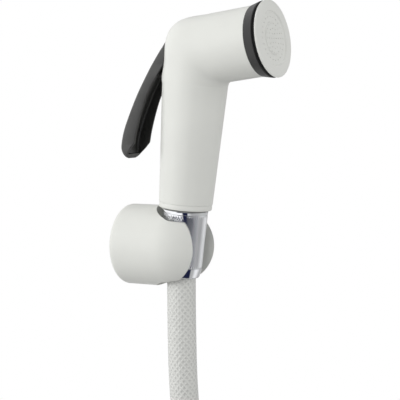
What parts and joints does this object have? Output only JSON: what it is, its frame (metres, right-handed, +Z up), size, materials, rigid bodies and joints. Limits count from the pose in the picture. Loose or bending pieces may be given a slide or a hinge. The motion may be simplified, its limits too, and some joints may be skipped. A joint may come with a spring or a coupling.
{
  "type": "handheld bidet shower",
  "caption": "Handheld bidet shower with a rear lever, hanging in a rounded wall holder, on a braided hose with a knurled cone nut.",
  "frame": {"origin": "centre of the holder's wall face", "axes": "+Y into the wall, +Z up, +X across; the spray face looks along -Y"},
  "size_m": [0.2024, 0.1108, 0.5014],
  "materials": {
    "white_abs": "satin",
    "black_abs": "satin",
    "chrome": "polished",
    "hose_pvc": "satin",
    "tie_plastic": "matte",
    "brass": "machined",
    "stainless": "brushed",
    "rubber": "matte",
    "nylon": "matte"
  },
  "bodies": {
    "holder_and_handset": {"casing": "white_abs", "collar_ring": "black_abs", "cone_nut": "chrome", "face_seal": "rubber", "filter_screen": "stainless", "flow_disc": "nylon", "gland_nut": "brass", "grip_end_cap": "white_abs", "holder": "white_abs", "holder_screws": "stainless", "hose_coil": "hose_pvc", "hose_end": "hose_pvc", "hose_ties": "tie_plastic", "hose_tube": "hose_pvc", "hose_washer": "rubber", "inlet_connector": "nylon", "lever_pin": "stainless", "lower_ferrule": "stainless", "lower_hose_tail": "brass", "nozzle_body": "nylon", "outlet_tube": "nylon", "return_spring": "stainless", "riser_tube": "nylon", "spray_plate": "white_abs", "stem_seal": "rubber", "supply_washer": "rubber", "upper_ferrule": "stainless", "upper_hose_tail": "brass", "valve_body": "nylon", "valve_plug": "nylon"},
    "lever_body": {"lever": "black_abs"},
    "stem_body": {"valve_stem": "stainless", "valve_washer": "rubber"},
    "supply_nut_body": {"supply_nut": "chrome"}
  },
  "joints": [
    {"name": "lever_press", "type": "hinge", "parent": "holder_and_handset", "child": "lever_body", "pos_m": [0, -0.0325, 0.1075], "axis": [-1, 0, 0], "range_deg": [0, 12], "stiffness_Nm_per_rad": 0.5, "springref_deg": -17.19},
    {"name": "valve_stem_slide", "type": "slide", "parent": "holder_and_handset", "child": "stem_body", "axis": [0, -1, 0], "range_m": [0, 0.0026], "deforming": ["return_spring"]},
    {"name": "supply_nut_turn", "type": "hinge", "parent": "holder_and_handset", "child": "supply_nut_body", "pos_m": [0.09, -0.09, -0.343], "axis": [0, 0, 1], "continuous": true}
  ],
  "couplings": [
    {"joint": "valve_stem_slide", "follows": "lever_press", "m_per_rad": 0.0117}
  ]
}
